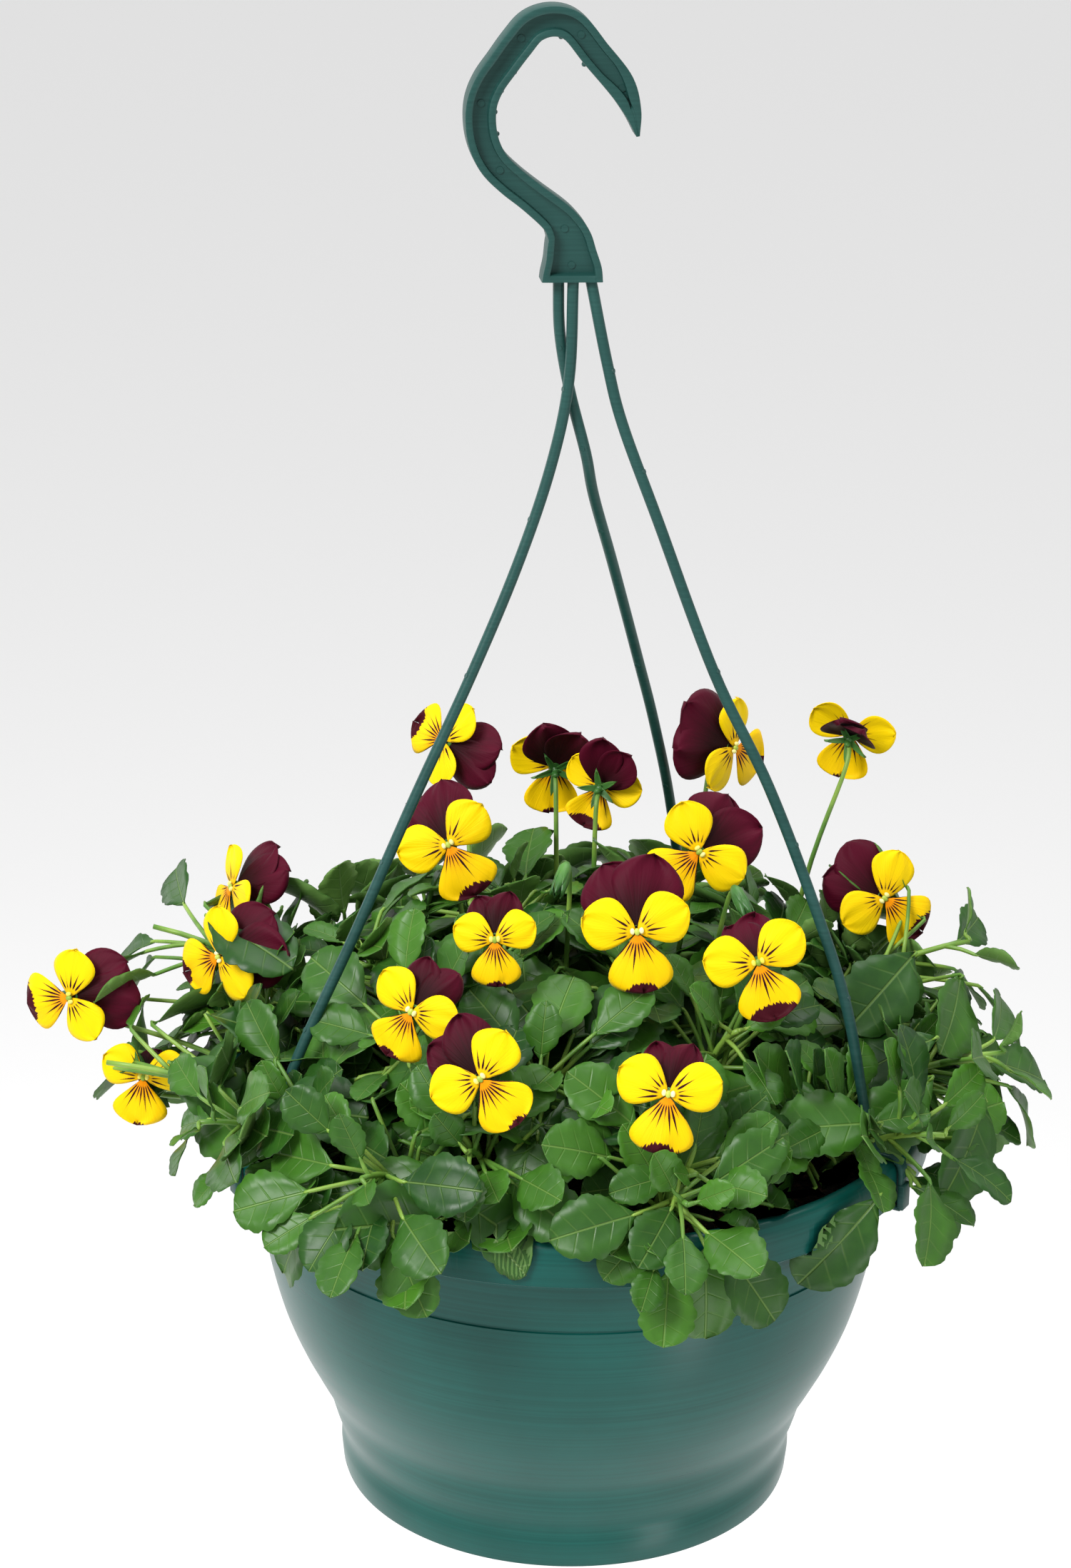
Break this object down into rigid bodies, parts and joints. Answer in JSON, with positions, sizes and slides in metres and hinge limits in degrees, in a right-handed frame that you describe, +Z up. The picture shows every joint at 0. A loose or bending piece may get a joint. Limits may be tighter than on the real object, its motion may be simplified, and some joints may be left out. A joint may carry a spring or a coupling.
{
  "type": "viola hanging basket",
  "caption": "Round plastic hanging pot with turned-down collar, planted with yellow and maroon violas, hung by three moulded strands from a flat hook.",
  "frame": {"origin": "the point of the hook's inner curve that the basket hangs from", "axes": "+Z up, +X to the right as seen from the front, -Y towards the front, where most flowers face; the pot's axis is vertical"},
  "size_m": [0.3881, 0.3209, 0.56],
  "materials": {
    "pot_plastic": "injection-moulded polypropylene, soft gloss with faint turning lines",
    "hanger_plastic": "injection-moulded polypropylene, satin, slightly greyer than the pot",
    "compost": "moist crumbly peat-free compost with wood fibre",
    "viola_bloom": "velvety petals, yellow with maroon lines and maroon upper petals",
    "viola_bud": "waxy green sepals round a closed bud",
    "viola_leaf": "glossy scalloped leaves with pale midribs"
  },
  "bodies": {
    "root": {"bud_1": "viola_bud", "bud_2": "viola_bud", "crown_shoot_01": "viola_leaf", "crown_shoot_02": "viola_leaf", "crown_shoot_03": "viola_leaf", "crown_shoot_04": "viola_leaf", "flower_01": "viola_bloom", "flower_02": "viola_bloom", "flower_03": "viola_bloom", "flower_04": "viola_bloom", "flower_05": "viola_bloom", "flower_06": "viola_bloom", "flower_07": "viola_bloom", "flower_08": "viola_bloom", "flower_09": "viola_bloom", "flower_10": "viola_bloom", "flower_11": "viola_bloom", "flower_12": "viola_bloom", "flower_13": "viola_bloom", "flower_14": "viola_bloom", "flower_15": "viola_bloom", "flower_16": "viola_bloom", "flower_17": "viola_bloom", "flower_18": "viola_bloom", "hook": "hanger_plastic", "inner_shoot_01": "viola_leaf", "inner_shoot_02": "viola_leaf", "inner_shoot_03": "viola_leaf", "inner_shoot_04": "viola_leaf", "inner_shoot_05": "viola_leaf", "inner_shoot_06": "viola_leaf", "inner_shoot_07": "viola_leaf", "left_high_straggle": "viola_leaf", "left_low_straggle": "viola_leaf", "outer_shoot_01": "viola_leaf", "outer_shoot_02": "viola_leaf", "outer_shoot_03": "viola_leaf", "outer_shoot_04": "viola_leaf", "outer_shoot_05": "viola_leaf", "outer_shoot_06": "viola_leaf", "outer_shoot_07": "viola_leaf", "outer_shoot_08": "viola_leaf", "outer_shoot_09": "viola_leaf", "outer_shoot_10": "viola_leaf", "pot": "pot_plastic", "right_high_straggle": "viola_leaf", "right_low_straggle": "viola_leaf", "rim_shoot_01": "viola_leaf", "rim_shoot_02": "viola_leaf", "rim_shoot_03": "viola_leaf", "rim_shoot_04": "viola_leaf", "rim_shoot_05": "viola_leaf", "rim_shoot_06": "viola_leaf", "rim_shoot_07": "viola_leaf", "rim_shoot_08": "viola_leaf", "soil": "compost", "strand_back": "hanger_plastic", "strand_left": "hanger_plastic", "strand_right": "hanger_plastic"}
  },
  "joints": []
}
